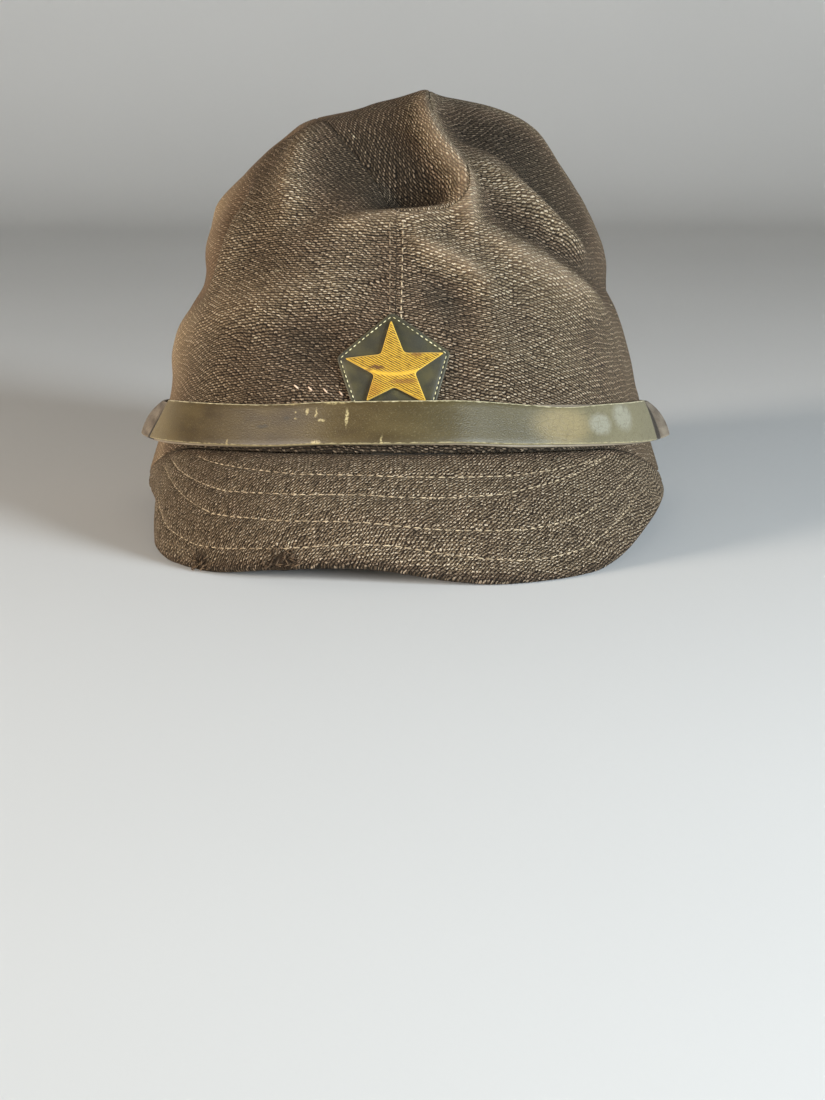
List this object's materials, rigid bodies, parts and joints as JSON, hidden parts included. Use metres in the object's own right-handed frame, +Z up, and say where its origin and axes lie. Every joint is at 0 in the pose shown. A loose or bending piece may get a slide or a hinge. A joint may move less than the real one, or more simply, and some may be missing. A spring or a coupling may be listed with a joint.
{
  "type": "field cap",
  "caption": "Soft brown wool field cap with a dented crown, a stitched peak, a star badge on a dark patch and an olive leather chin strap.",
  "frame": {"origin": "on the floor, under the middle of the cap's box", "axes": "+Z up, -Y towards the front of the cap, +X to the right as seen from the front"},
  "size_m": [0.1784, 0.2422, 0.1363],
  "materials": {
    "wool": "matte",
    "patch_felt": "matte",
    "star_cloth": "satin",
    "strap_leather": "satin",
    "under_leather": "satin",
    "button_paint": "satin"
  },
  "bodies": {
    "root": {"crown_left": "wool", "crown_right": "wool", "crown_top": "wool", "peak": "wool", "badge_patch": "patch_felt", "badge_star": "star_cloth", "strap_outer": "strap_leather", "strap_under": "under_leather", "button_left": "button_paint", "button_right": "button_paint"}
  },
  "joints": []
}
